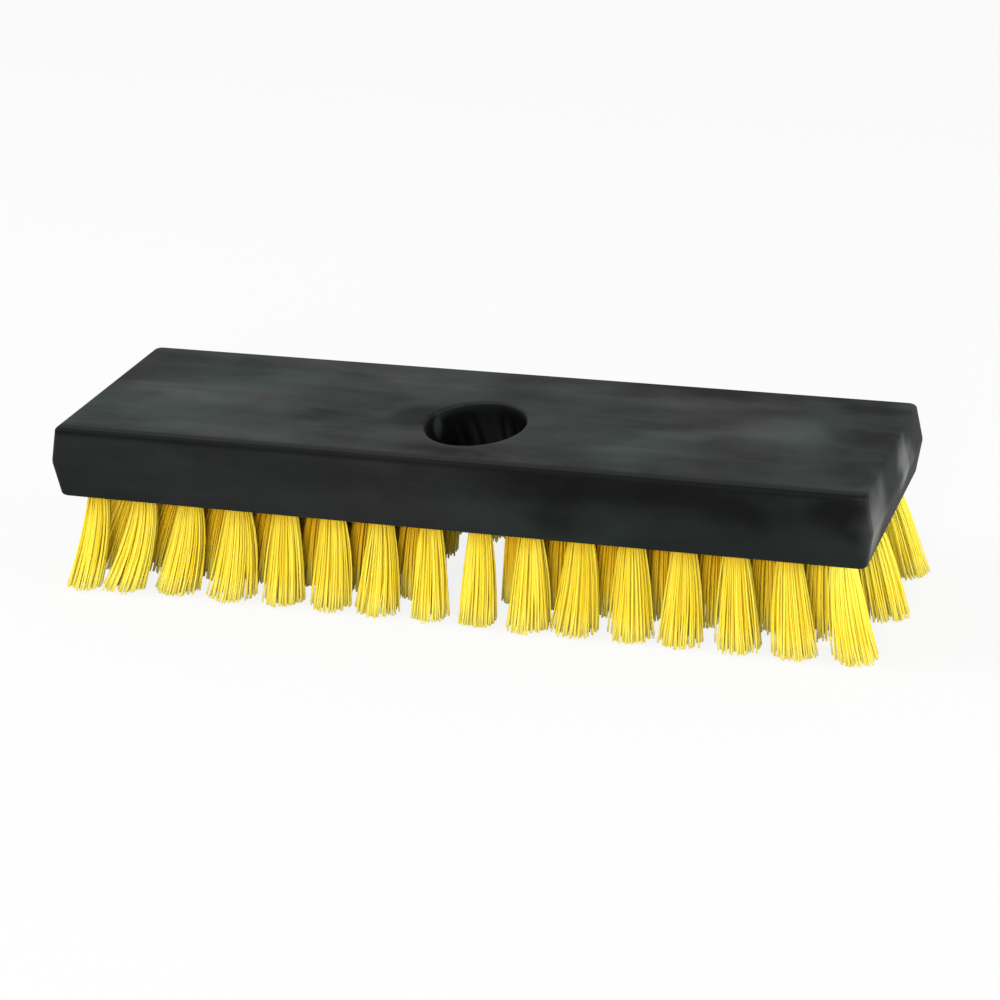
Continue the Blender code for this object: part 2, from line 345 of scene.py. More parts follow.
def block_walk():
    """All rings, from the bottom of the outer side and once round the section."""
    outer = outer_rings()
    rim = []
    for angle in quarter(RIM_STEPS):
        rim.append(socket_ring(TOP - RIM_RADIUS * (1 - np.sin(angle)), RIM_RADIUS * (1 - np.cos(angle))))
    end = [socket_ring(UNDERSIDE + END_BEVEL, 0.0, 1.0), socket_ring(UNDERSIDE, END_BEVEL, 1.0)]
    over_the_top = blend_rings(outer[-1], rim[-1], TOP_SHARES)
    underside = blend_rings(end[-1], outer[0], UNDERSIDE_SHARES)
    return np.stack(outer + over_the_top + rim[::-1] + wall_rings() + end + underside)


walk = block_walk()
block_body = mesh_piece("block_body", walk, [grid_faces(*walk.shape[:2], True, True)])
print(f"{len(walk)} rings in the block, {len(block_body.data.polygons)} faces")

# %% [markdown]
# ## Where the tufts are set
#
# The tufts stand in five rows, and every second row is shifted by half a pitch, so that no gap
# runs straight through. No tuft can be anchored right under the socket, so those places stay
# empty: that is what lets daylight through in the middle of the front row. The places could be
# listed one by one, but a drilling machine follows a grid like this, and so do these lines.

# %% Places of the tufts
SOCKET_CHECKS = 7


def under_socket(x, y):
    """True where a place lies inside the socket's section at any height of the block."""
    inside = np.zeros(np.shape(x), dtype=bool)
    for z in UNDERSIDE + BLOCK[2] * np.arange(SOCKET_CHECKS) / (SOCKET_CHECKS - 1):
        half_x, half_y = socket_radius(z), socket_radius(z) / math.cos(LEAN)
        inside |= (x / half_x) ** 2 + ((y - socket_centre(z)) / half_y) ** 2 < 1
    return inside


column, row = np.meshgrid(np.arange(COLUMNS), np.arange(ROWS), indexing="ij")
place_x = (column - (COLUMNS - 1) / 2) * COLUMN_PITCH
place_y = (row - (ROWS - 1) / 2) * ROW_PITCH
is_set = ((row + column) % 2 == 0) & ~under_socket(place_x, place_y)
places = np.stack([place_x[is_set], place_y[is_set]], axis=1)
place_column, place_row = column[is_set], row[is_set]
OUTER = np.abs(places).max(axis=0)
print(f"{len(places)} tufts, the outermost at {np.round(OUTER * 1000, 2)} mm")

# %% [markdown]
# ## How the tufts lean
#
# Each tuft leans outwards, more the nearer it is to an end or a side. The brush in the
# photograph has also been pressed over a little to the left, most of all at its left end, which
# is the drift. The two front rows can be seen, so their leans are read from the photograph tuft
# by tuft, and so are the widths of the front row. A few tufts behind them, seen in the gaps and
# at the right end, are corrected one by one. A lean is how far the tips stand out from the root,
# and a width is a share of the usual size of a tuft at its tips.

# %% Leans and widths of the tufts
SEED = 20
DRIFT, LEAN_SCATTER = -0.0028, 0.0004
WIDTH_RANGE, SECOND_ROW_WIDTH = (0.94, 1.10), 1.18
LEANS_MM = {  # row: how far the tips of each of its tufts stand out in X
    0: [-5.1, -8.0, -6.1, -3.8, -1.7, -2.1, -2.5, -0.7, -1.1, -0.9, -2.5, 0.1, -1.0, 1.1, 2.4, 4.6],
    1: [-13.0, -11.8, -8.0, -6.2, -4.4, -3.8, -2.6, -2.4, -1.0, -1.5, 0.3, 0.0, 0.5, 1.0],
}
FRONT_WIDTHS_MM = [12.8, 15.0, 15.6, 15.4, 14.8, 14.4, 15.6, 13.4,
                   12.4, 15.0, 15.6, 14.6, 14.4, 14.4, 14.2, 14.2]
LEAN_CHANGES = [  # row, number in the row, and how much further its tips stand out in X and in Y
    (0, 0, 0.0, -0.0036), (0, 1, 0.0, -0.0016), (2, -1, 0.0015, 0.0), (3, 6, -0.0050, 0.0),
    (3, -1, 0.0035, 0.0), (4, 6, 0.0020, 0.0), (4, -1, 0.0024, 0.0010),
]
WIDTH_CHANGES = {(1, 0): 1.40, (1, 7): 0.62, (2, -1): 1.15}  # (row, number in the row): its width


def tuft_lean(spots):
    """How far tips stand out from roots: by the cube of X, and by the square of Y with its sign."""
    share = spots / OUTER
    return np.stack([END_FLARE * share[:, 0] ** 3, ROW_FLARE * share[:, 1] * np.abs(share[:, 1])], axis=1)


chance = np.random.default_rng(SEED)
lean = tuft_lean(places) + chance.normal(0, LEAN_SCATTER, places.shape)
lean[:, 0] += DRIFT * (1 - places[:, 0] / OUTER[0]) / 2
widths = chance.uniform(*WIDTH_RANGE, len(places))
in_row = [np.flatnonzero(place_row == number) for number in range(ROWS)]
for number, leans in LEANS_MM.items():
    lean[in_row[number], 0] = np.array(leans) / 1000
for number, tuft, further_x, further_y in LEAN_CHANGES:
    lean[in_row[number][tuft]] += np.array([further_x, further_y])
widths[in_row[0]] = np.array(FRONT_WIDTHS_MM) / 1000 / TIP_SIZE[0]
widths[in_row[1]] *= SECOND_ROW_WIDTH
for (number, tuft), width in WIDTH_CHANGES.items():
    widths[in_row[number][tuft]] = width
print(f"tips stand out by {lean.min() * 1000:.1f} to {lean.max() * 1000:.1f} mm")

# %% [markdown]
# ## Drilled holes
#
# Each tuft is folded over a flat wire and driven into a drilled blind hole. From below, the
# dark ring round every tuft shows it. One cutter holds all the drills as closed cylinders, and
# one Boolean takes them out of the underside, which is flat there. The result is applied, so
# that the cutter needn't stay in the scene.

# %% Drill the holes for the tufts
HOLE_DEPTH, HOLE_SIDES, DRILL_BELOW = 0.0070, 20, 0.0020
SHARP_ANGLE = math.radians(32)


def drills(spots):
    """Closed cylinders from below the underside up to the holes' depth, one at each spot."""
    angle = 2 * np.pi * np.arange(HOLE_SIDES) / HOLE_SIDES
    circle = HOLE_DIAMETER / 2 * np.stack([np.cos(angle), np.sin(angle)], axis=1)
    level = spots[:, None, None, :] + circle[None, None]
    level = np.repeat(level, 2, axis=1)
    height = np.array([UNDERSIDE - DRILL_BELOW, UNDERSIDE + HOLE_DEPTH])[None, :, None, None]
    points = np.concatenate([level, np.broadcast_to(height, level.shape[:3] + (1,))], axis=-1)
    sides = grid_faces(2, HOLE_SIDES, wrap_columns=True)
    ends = np.stack([np.arange(HOLE_SIDES)[::-1], HOLE_SIDES + np.arange(HOLE_SIDES)])
    return points, repeated_faces(2 * HOLE_SIDES * np.arange(len(spots)), sides, ends)


drill_piece = mesh_piece("drills", *drills(places))
cut = block_body.modifiers.new("holes for the tufts", "BOOLEAN")
cut.operation, cut.solver, cut.object = "DIFFERENCE", "EXACT", drill_piece
drilled = bpy.data.meshes.new_from_object(block_body.evaluated_get(bpy.context.evaluated_depsgraph_get()))
block_body.modifiers.clear()
block_body.data = drilled
drilled.name = "block_body"
drilled.set_sharp_from_angle(angle=SHARP_ANGLE)
bpy.data.objects.remove(drill_piece)
print(f"{len(drilled.polygons)} faces with the holes drilled")

# %% [markdown]
# ## One tuft of filament
#
# A tuft is a bunch of stiff filaments, 140 here. They are packed tight in the hole and fan out
# as they leave it, most of all in the first few millimetres. The front row is held together
# longer, most of all near its middle, and it bends over nearer the floor. Seeds in a sunflower
# head are an even packing of a disc, and the same pattern, opened wider, gives the tips, so
# filaments keep their neighbours and don't cross. Real tips are less even: they are drawn into
# small clumps, each stands a little astray, and each filament bows. A blade has cut them all on
# one plane, but for a fringe of about a millimetre. Hair curves could draw this, but a mesh with
# a few dozen faces a filament exports as it is.

# %% Paths of the filaments
FILAMENTS, FILAMENT_DIAMETER = 140, 0.00055
SEGMENTS, SIDES = 8, 5
CLOSER_AT_ROOT = 1.4  # a power that sets the points of a path closer together near the root
ROOT_DEPTH, HOLE_PLAY = 0.0030, 0.0002
SPREAD_POWER, HELD_POWER = 0.42, 0.80  # the lower the power, the sooner the tuft opens
HELD_SHARE, HELD_MIDDLE = 0.75, 0.025  # how much of the second power, and how wide the middle is
LEAN_POWER, FRONT_LEAN_POWER = 0.90, 1.65
CLUMPS, CLUMP_SCATTER, CLUMP_PULL = 7, 0.5, 0.14
ASTRAY, BOW = 0.06, 0.0003
TIP_CLEARANCE, TIP_DOME = 0.0001, 0.0005
FRINGE, FRINGE_SHAPE = 0.0012, (1.2, 3.0)  # how high it may be, and the shape of a beta distribution


def sunflower(count):
    """Points of a disc of radius 1: radius by the square root, each turned by the golden angle."""
    index = np.arange(count)
    radius = np.sqrt((index + 0.5) / count)
    angle = index * math.pi * (3 - math.sqrt(5))
    return np.stack([radius * np.cos(angle), radius * np.sin(angle)], axis=1)


def chance_discs(count):
    """A sunflower for each tuft, turned by a chance angle."""
    turn = chance.uniform(0, 2 * np.pi, count)
    rotate = np.stack([np.cos(turn), -np.sin(turn), np.sin(turn), np.cos(turn)], axis=1).reshape(-1, 2, 2)
    return np.einsum("tij,fj->tfi", rotate, sunflower(FILAMENTS))


def clumped(disc):
    """The tips' disc: each place is drawn towards the nearest clump's centre, and goes astray."""
    centres = chance.normal(0, CLUMP_SCATTER, (len(disc), CLUMPS, 2))
    nearest = np.argmin(np.linalg.norm(disc[:, :, None] - centres[:, None], axis=-1), axis=2)
    pull = np.take_along_axis(centres, nearest[..., None], axis=1) - disc
    return disc + CLUMP_PULL * pull + chance.normal(0, ASTRAY, disc.shape)


def filament_paths(chosen):
    """Points along every filament of the chosen tufts, in an array (tufts, filaments, points, 3).

    Root and tip are the same sunflower place at two widths. With b the share of the trim that
    lies above a point, a path is root + b^spread * (tip - root) + b^leaning * lean + bow *
    sin(pi b). The front row's powers are its own. Tips end in a slight dome over the floor, and
    each is higher by a chance bit of fringe.
    """
    spots, leans = places[chosen], lean[chosen]
    count = len(spots)
    front_row = place_row[chosen] == 0
    near_middle = np.exp(-(spots[:, 0] / HELD_MIDDLE) ** 2)
    held = front_row * (HELD_SHARE + (1 - HELD_SHARE) * near_middle)
    spread_power = (SPREAD_POWER + (HELD_POWER - SPREAD_POWER) * held)[:, None, None, None]
    lean_power = np.where(front_row, FRONT_LEAN_POWER, LEAN_POWER)[:, None, None, None]
    disc = chance_discs(count)
    root = spots[:, None] + disc * (HOLE_DIAMETER - FILAMENT_DIAMETER - HOLE_PLAY) / 2
    wide = clumped(disc)
    fan = spots[:, None] + widths[chosen, None, None] * wide * (TIP_SIZE - FILAMENT_DIAMETER) / 2 - root
    dome = TIP_DOME * (disc ** 2).sum(-1)
    end_z = TIP_CLEARANCE + FRINGE * chance.beta(*FRINGE_SHAPE, (count, FILAMENTS)) + dome
    share = np.linspace(0, 1, SEGMENTS + 1) ** CLOSER_AT_ROOT
    z = (UNDERSIDE + ROOT_DEPTH) + share * (end_z[..., None] - UNDERSIDE - ROOT_DEPTH)
    below = np.clip((UNDERSIDE - z) / TRIM, 0, 1)[..., None]
    bow = chance.normal(0, BOW, (count, FILAMENTS, 1, 2)) * np.sin(np.pi * below)
    leaning = below ** lean_power * leans[:, None, None]
    level = root[:, :, None] + below ** spread_power * fan[:, :, None] + leaning + bow
    return np.concatenate([level, z[..., None]], axis=-1)


# %% [markdown]
# ## Filaments as thin tubes
#
# A tube is a ring carried along a path. At each point of the path the ring lies square to the
# path's direction, which comes from the neighbouring points. The filaments of a node are all
# made in one array. Three numbers are kept with every point for the finish: a chance shade for
# each filament, how far down the filament the point is, and how far inside the head its tuft
# stands. A map for baking is made as well, with a strip for each filament.

# %% Tubes along the paths
RADIUS_RANGE = (0.92, 1.06)
OUTWARD_POWER = 6
STRIPS, STRIP_MARGIN, END_MARGIN = 32, 0.15, 0.05


def unit(vectors):
    """Vectors brought to length 1."""
    return vectors / np.linalg.norm(vectors, axis=-1, keepdims=True)


def bristle_piece(name, chosen):
    """The filaments of the chosen tufts, as one mesh with three numbers and a bake map."""
    paths = filament_paths(chosen).reshape(-1, SEGMENTS + 1, 3)
    count, points, _ = paths.shape
    along = unit(np.gradient(paths, axis=1))
    across = unit(np.cross(along, [1.0, 0.0, 0.0]))
    third = np.cross(along, across)
    angle = 2 * np.pi * np.arange(SIDES) / SIDES + chance.uniform(0, 2 * np.pi, (count, 1, 1))
    radius = FILAMENT_DIAMETER / 2 * chance.uniform(*RADIUS_RANGE, (count, 1, 1))
    ring = radius[..., None] * (np.cos(angle)[..., None] * across[:, :, None]
                                + np.sin(angle)[..., None] * third[:, :, None])
    sides = grid_faces(points, SIDES, wrap_columns=True)[:, ::-1]
    ends = np.stack([np.arange(SIDES), (points * SIDES - 1 - np.arange(SIDES))])
    groups = repeated_faces(points * SIDES * np.arange(count), sides, ends)
    piece = mesh_piece(name, paths[:, :, None] + ring, groups)
    shade = np.repeat(chance.uniform(0, 1, count), points * SIDES)
    reach = np.tile(np.repeat(np.linspace(0, 1, points), SIDES), count)
    outward = np.abs(places[chosen] / OUTER).max(axis=1) ** OUTWARD_POWER
    inner = np.repeat(1 - outward, FILAMENTS * points * SIDES)
    for label, values in (("shade", shade), ("reach", reach), ("inner", inner)):
        attribute = piece.data.attributes.new(label, "FLOAT", "POINT")
        attribute.data.foreach_set("value", values.astype(np.float32))
    add_bake_map(piece.data, count, points)
    return piece


def add_bake_map(mesh, count, points):
    """A UV map with a strip for each filament, STRIPS of them side by side, so bakes stay sharp."""
    strip = np.arange(count)[:, None, None]
    bands = math.ceil(count / STRIPS)
    across = STRIP_MARGIN + (1 - 2 * STRIP_MARGIN) * np.arange(SIDES) / (SIDES - 1)
    down = END_MARGIN + (1 - 2 * END_MARGIN) * np.linspace(0, 1, points)[:, None]
    u = (strip % STRIPS + across) / STRIPS
    v = (strip // STRIPS + down) / bands
    per_point = np.stack(np.broadcast_arrays(u, v), axis=-1).reshape(-1, 2)
    corner = np.empty(len(mesh.loops), dtype=np.int32)
    mesh.loops.foreach_get("vertex_index", corner)
    layer = mesh.uv_layers.new(name="OFBake")
    layer.uv.foreach_set("vector", per_point[corner].astype(np.float32).ravel())


# %% [markdown]
# ## A piece for every node
#
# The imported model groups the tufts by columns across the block. A node's name holds the number
# of its column, as in tufts_c14_front, and where the socket parts a column, the side it is on.
# The pieces follow the same groups, so each can stand in for one node.

# %% Make the bristles of every node
COLUMN_DIGITS = slice(7, 9)

bristles = {}
for node in sorted(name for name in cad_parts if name.startswith("tufts_")):
    mine = place_column == int(node[COLUMN_DIGITS]) - 1
    if node.endswith("_front"):
        mine &= places[:, 1] < 0
    if node.endswith("_back"):
        mine &= places[:, 1] > 0
    bristles[node] = bristle_piece(node.replace("tufts", "bristles"), mine)
faces = sum(len(piece.data.polygons) for piece in bristles.values())
print(f"{len(bristles)} bristle pieces, {faces} faces")

# %% [markdown]
# ## Black structural foam
#
# The block is plastic with a gas blown through it. As it fills the mould it streaks, so its
# skin is a mottled grey-green black, drawn out along the block, under a dull satin shine.
# Streaks and soft clouds make the mottle, and so do broad patches where the melt cooled sooner
# or later. A few patches on the front face are painted reflection and shade. The mottle is
# painted fuller on the top, as painted light from above and its sheen. A painted shade line
# runs under the top's front edge, the dark line in the photograph. One patch is greener than the
# rest, and a few spots at the ends are polished. The socket's wall is painted deep black as the
# shade in the hole, and is a little smoother, with one painted highlight, a pale crescent on its
# left side. First come the places and amounts of all these.

# %% Places and amounts for the finish of the block
# Most patches are broad tones of the mottle on the top. The five at Y -38 lie on the front face and are
# painted reflection and painted shade of that face.
PATCHES = [  # centre and half size in millimetres, and how much lighter or darker
    ((-86, 4, 54), (40, 16, 8), 0.46), ((-68, -25, 54), (32, 11, 8), 0.34),
    ((-14, 24, 54), (14, 10, 8), 0.14), ((46, -16, 54), (34, 17, 8), 0.16),
    ((92, 6, 54), (24, 12, 8), 0.42), ((-48, -10, 54), (15, 8, 8), -0.30),
    ((118, 6, 54), (12, 40, 8), -0.20), ((58, 34, 54), (60, 9, 8), -0.24),
    ((-40, 34, 54), (46, 9, 8), 0.28), ((-120, 0, 54), (9, 40, 8), -0.12),
    ((108, 30, 54), (16, 9, 8), -0.28), ((66, -1, 54), (15, 6, 8), 0.32),
    ((-6, -31, 54), (20, 6, 8), -0.30), ((-19, -6, 54), (12, 12, 8), -0.50),
    ((-33, 25, 54), (15, 8, 8), 0.22), ((-94, -1, 54), (16, 6, 8), 0.18),
    ((70, -28, 54), (16, 6, 8), 0.20), ((60, -38, 50), (75, 5, 10), -0.20),
    ((-20, -38, 36), (90, 5, 8), 0.09), ((-100, -38, 44), (50, 5, 12), 0.05),
    ((35, -38, 38), (16, 5, 5), -0.16), ((120, -38, 47), (12, 5, 8), -0.18),
]
GREEN = ((-78, 15, 54), (40, 17, 8))
# a painted highlight: the pale crescent where light falls on the socket's left wall
CRESCENT_SPOT = ((-14.2, -0.9, 49.2), (1.7, 3.4, 4.6))
POLISHED = [((127, -33, 45), (9, 20, 15)), ((127, 12, 46), (5, 13, 9)), ((-127, 6, 44), (5, 26, 9))]
PATCH_EDGE, PATCH_CORE = 1.15, 0.25

BLACK = (0.0010, 0.0012, 0.0012, 1)
PALE, PALE_GREEN = (0.0480, 0.0510, 0.0495, 1), (0.0330, 0.0580, 0.0510, 1)
GREEN_BAND, GREEN_DRIFT, GREEN_PATCH = (0.40, 0.62), 0.6, 0.7  # by a broad noise, and by GREEN
# The top gets all of the mottle and the sides only a share of it: the top is painted paler, as light from
# above and its sheen make it.
LEAST, OFF_TOP_SHARE = 0.13, 0.25  # the least paleness, and the share of the mottle off the top
STREAK_SCALE, STREAK_BAND, STREAKS = (14.0, 70.0, 70.0), (0.34, 0.72), 0.34
CLOUD_BAND, CLOUDS = (0.34, 0.70), 0.26
PUSH = (0.022, 0.014, 0.010)  # how far apart two places can be pushed
# the heights over which the top's painted light fades in
TOP_LIGHT_HEIGHTS = (TOP - 0.0014, TOP - 0.0003)
# a painted shade line under the top's front edge, where the rounding turns away from the light
SHADE_LINE_HEIGHTS, SHADE_LINE_FRONT, SHADE_LINE_DARKER = (TOP - 0.0026, TOP - 0.0008), (-0.0350, -0.0325), 0.88
WALL_SHARES, WALL_DEPTHS = (1.06, 1.0), (0.0008, 0.0040)  # of the socket's radius, and below the top
# how much darker the socket's wall is painted, as shade deep in the hole, and how much paler its painted
# crescent highlight is
WALL_SHADE, CRESCENT_PALER = 0.9, 0.5
ROUGHNESS, WALL_SMOOTHER = 0.56, 0.16
PALE_SMOOTHER, PEBBLE_ROUGHER = 0.06, 0.06
GLOSS, POLISH, POLISH_ROUGHNESS = 0.085, 0.9, 0.38
print(f"{len(PATCHES)} patches lighter or darker, {len(POLISHED)} polished spots")

# %% [markdown]
# ## Masks on the block
#
# A patch is a soft ellipsoid of space, so it stays at one place of the moulding whatever the
# surface does there. A noise pushes the places about before they are measured, which makes the
# patch's edge ragged. The socket's mask follows from the socket's own measures. A painted map
# could do the same, but it would need an unwrapped surface and a picture.

# %% Patches, noise and the mask of the socket
def patch(wire, place, centre, size):
    """1 at the centre of a soft ellipsoid and 0 outside it, by the scaled distance."""
    away = wire.node("ShaderNodeVectorMath", {"operation": "SUBTRACT"},
                     {0: place, 1: tuple(value / 1000 for value in centre)})
    scaled = wire.node("ShaderNodeVectorMath", {"operation": "DIVIDE"},
                       {0: away, 1: tuple(value / 1000 for value in size)})
    length = wire.node("ShaderNodeVectorMath", {"operation": "LENGTH"}, {0: scaled}, "Value")
    return length.band(PATCH_EDGE, PATCH_CORE)


def noise(wire, place, scale, detail, output=0, **more):
    """A noise texture, with so many cells to the metre and so many finer layers."""
    sockets = {"Vector": place, "Scale": scale, "Detail": detail, **more}
    return wire.node("ShaderNodeTexNoise", sockets=sockets, output=output)


def pushed_about(wire, place):
    """Places moved by a noise of three channels: by up to half the push in each direction."""
    drift = noise(wire, place, scale=45.0, detail=2.0, output="Color")
    moved = wire.node("ShaderNodeVectorMath", {"operation": "MULTIPLY_ADD"}, {0: drift, 1: PUSH, 2: place})
    half = tuple(value / 2 for value in PUSH)
    return wire.node("ShaderNodeVectorMath", {"operation": "SUBTRACT"}, {0: moved, 1: half})


def socket_mask(wire, place):
    """1 deep in the leaning socket, by the distance from its axis as a share of its radius."""
    x, y, z = part_of(wire, place, "XYZ")
    taper = (MOUTH_DIAMETER - END_DIAMETER) / 2 / BLOCK[2]
    radius = (z - UNDERSIDE) * taper + END_DIAMETER / 2
    across = (y - (MIDDLE - z) * math.tan(LEAN)) * math.cos(LEAN)
    share = (x * x + across * across) ** 0.5 / radius
    return share.band(*WALL_SHARES) * (TOP - z).band(*WALL_DEPTHS)


# %% [markdown]
# ## Paleness and the skin
#
# Everything that makes the plastic lighter or darker is added up to one number, the paleness.
# The colour follows it, and so does the roughness a little, so that the mottle still shows in
# the shine. The pebble of the skin is a fine bump, broad, shallow dents make reflections waver
# as on thick mouldings, and the polished spots have a coat over the plastic.

# %% The finish of the block
def paleness(wire, place, ragged, inside):
    """0 where the skin is black and 1 where it is palest.

    A least value, the mottle and every patch are added, the mottle fuller on the top as painted
    light and sheen. The socket's wall, painted dark as shade, and the painted shade line under
    the top's front edge take a share away, and the painted crescent highlight is put on top.
    """
    stretched = wire.node("ShaderNodeMapping", sockets={"Vector": place, "Scale": STREAK_SCALE})
    streak = noise(wire, stretched, scale=1.0, detail=5.0, Roughness=0.62, Distortion=0.5)
    cloud = noise(wire, place, scale=34.0, detail=3.0, Roughness=0.55)
    y, z = part_of(wire, place, "YZ")
    # painted shade: a dark line just under the top's front edge
    shade_line = z.band(*SHADE_LINE_HEIGHTS) * (1 - y.band(*SHADE_LINE_FRONT))
    mottle = streak.band(*STREAK_BAND) * STREAKS + cloud.band(*CLOUD_BAND) * CLOUDS
    # painted light: the mottle is full on the top, and only a share of it shows on the sides
    pale = LEAST + mottle * (OFF_TOP_SHARE + (1 - OFF_TOP_SHARE) * z.band(*TOP_LIGHT_HEIGHTS))
    for centre, size, amount in PATCHES:
        pale = pale + patch(wire, ragged, centre, size) * amount
    # a painted highlight on the socket's left wall
    crescent = patch(wire, place, *CRESCENT_SPOT)
    # the socket's wall is painted darker, as the shade deep in the hole
    return (pale * (1 - inside * WALL_SHADE) * (1 - shade_line * SHADE_LINE_DARKER) + crescent * CRESCENT_PALER).held()


def skin_bumps(wire, place, pebble):
    """A normal with broad shallow dents and, on top of them, the fine pebble."""
    dents = noise(wire, place, scale=26.0, detail=1.0, Roughness=0.4)
    dented = wire.node("ShaderNodeBump", sockets={"Height": dents, "Strength": 0.35, "Distance": 0.0006})
    return wire.node("ShaderNodeBump", sockets={
        "Height": pebble, "Strength": 0.30, "Distance": 0.00006, "Normal": dented})


def plastic_finish():
    """Paleness mixes black with a grey that is greener in places, and changes the roughness."""
    material, wire = new_finish("black_plastic")
    place = object_place(wire)
    ragged = pushed_about(wire, place)
    inside = socket_mask(wire, place)
    pale = paleness(wire, place, ragged, inside)
    greener = noise(wire, place, scale=17.0, detail=2.0).band(*GREEN_BAND) * GREEN_DRIFT
    greener = (greener + patch(wire, ragged, *GREEN) * GREEN_PATCH).held()
    pebble = noise(wire, place, scale=1500.0, detail=2.0, Roughness=0.6)
    polished = [patch(wire, ragged, *spot) for spot in POLISHED]
    roughness = ROUGHNESS - PALE_SMOOTHER * pale + PEBBLE_ROUGHER * pebble - WALL_SMOOTHER * inside
    shader = wire.node("ShaderNodeBsdfPrincipled", sockets={
        "Base Color": pale.blend(BLACK, greener.blend(PALE, PALE_GREEN)), "Roughness": roughness,
        "Specular IOR Level": GLOSS, "Normal": skin_bumps(wire, place, pebble),
        "Coat Weight": sum(polished[1:], polished[0]) * POLISH, "Coat Roughness": POLISH_ROUGHNESS})
    wire.node("ShaderNodeOutputMaterial", sockets={"Surface": shader})
    return material


block_finish = plastic_finish()
block_body.data.materials.clear()
block_body.data.materials.append(block_finish)
print(f"{len(block_finish.node_tree.nodes)} nodes in the finish of the block")

# %% [markdown]
# ## Yellow filament
#
# The filament is stiff extruded plastic, dyed through. Its colour hardly varies from one to the
# next, but the eye sees the tuft as many filaments because of that small difference. Light that
# bounces between filaments is painted in as ochre deep in the head. Near the block, where little
# of it comes out, the bunches are painted brown, and darker still at the roots, as painted shade
# and shadow. At the right end they stand free of the block, so there the painted shade stops and
# they are painted bright up to it. The tips are paler, where the cutter has bruised them. So the
# colour depends on the three numbers stored with each point, and on X for the free end.

# %% The finish of the bristles
DARK_YELLOW, LIGHT_YELLOW = (0.900, 0.655, 0.014, 1), (0.965, 0.815, 0.085, 1)
# painted light and shade: ochre for light bounced between filaments, brown and darker shades for the shade
# near the block and the painted shadow at the roots
OCHRE, SHADE_BROWN = (0.98, 0.56, 0.003, 1), (0.50, 0.30, 0.002, 1)
SHADED, ROOT_SHADOW = (0.66, 0.40, 0.002, 1), (0.22, 0.12, 0.002, 1)
# a painted light yellow for the free right end, and the paler cut tips
LIT_YELLOW, BRUISED = (1.0, 0.90, 0.10, 1), (0.92, 0.84, 0.19, 1)
# the right end, free of the block: the painted shade stops there and painted light takes its place
FREE_END = (0.104, 0.116)
FILAMENT_ROUGHNESS, SHADE_ROUGHER, FILAMENT_GLOSS = 0.42, 0.10, 0.18


def filament_finish():
    """A chance shade for each filament, and layers of colour laid over it one after the other."""
    material, wire = new_finish("yellow_bristle")
    shade, reach, inner = (wire.node("ShaderNodeAttribute", {"attribute_name": label}, output="Fac")
                           for label in ("shade", "reach", "inner"))
    # free is the right end with painted light, covered the rest, which gets the painted shade
    free = part_of(wire, object_place(wire), "X")[0].band(*FREE_END)
    covered = 1 - free

    def above(low, high):
        """1 nearer the root than the low reach, and 0 further down than the high one."""
        return 1 - reach.band(low, high)

    layers = [  # how much of a colour, and the colour
        # painted light bounced between the filaments, deep in the head
        (inner * above(0.40, 1.0) * 0.9, OCHRE),
        # painted shade near the block, and a painted shadow down at the roots
        (covered * inner * above(0.30, 0.70) * 0.4, SHADE_BROWN),
        (covered * above(0.26, 0.46) * 0.6, SHADED),
        (covered * above(0.17, 0.30) * 0.6, ROOT_SHADOW),
        # painted light: the free right end bright up to the block
        (free * above(0.45, 0.95) * 0.8, LIT_YELLOW),
        (reach.band(0.80, 1.0) * 0.6, BRUISED),
    ]
    colour = shade.blend(DARK_YELLOW, LIGHT_YELLOW)
    for amount, layer in layers:
        colour = amount.blend(colour, layer)
    shader = wire.node("ShaderNodeBsdfPrincipled", sockets={
        "Base Color": colour, "Roughness": FILAMENT_ROUGHNESS + SHADE_ROUGHER * shade,
        "Specular IOR Level": FILAMENT_GLOSS})
    wire.node("ShaderNodeOutputMaterial", sockets={"Surface": shader})
    return material


bristle_finish = filament_finish()
for piece in bristles.values():
    piece.data.materials.append(bristle_finish)
print(f"{len(bristle_finish.node_tree.nodes)} nodes in the finish of the bristles")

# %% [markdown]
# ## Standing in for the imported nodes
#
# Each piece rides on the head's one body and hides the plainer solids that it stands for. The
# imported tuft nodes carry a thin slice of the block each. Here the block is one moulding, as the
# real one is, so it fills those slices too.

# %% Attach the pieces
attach(block_body, "root")
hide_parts("block")
for node, piece in bristles.items():
    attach(piece, "root")
    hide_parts(node)
print(f"{1 + len(bristles)} pieces stand for {len(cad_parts)} nodes")

# %% [markdown]
# ## A white studio
#
# The head lies on a white sweep. The floor looks white because its own colour is pale and part
# of it glows for the camera and for reflections only, so the object gets no extra light. What
# is left of the floor's diffuse part still shows the soft shadow under the bristles.

# %% Floor and surroundings
FLOOR_REACH, FLOOR_POINTS = 4.0, 9
FLOOR_GREY, FLOOR_GLOW = 0.80, 0.86
DIM, WHITE = 0.45, 1.0


def seen_directly(wire):
    """1 for rays from the camera, from reflections and through glass, and 0 for other light."""
    rays = [wire.node("ShaderNodeLightPath", output=name)
            for name in ("Is Camera Ray", "Is Glossy Ray", "Is Transmission Ray")]
    return (rays[0] + rays[1] + rays[2]).held()


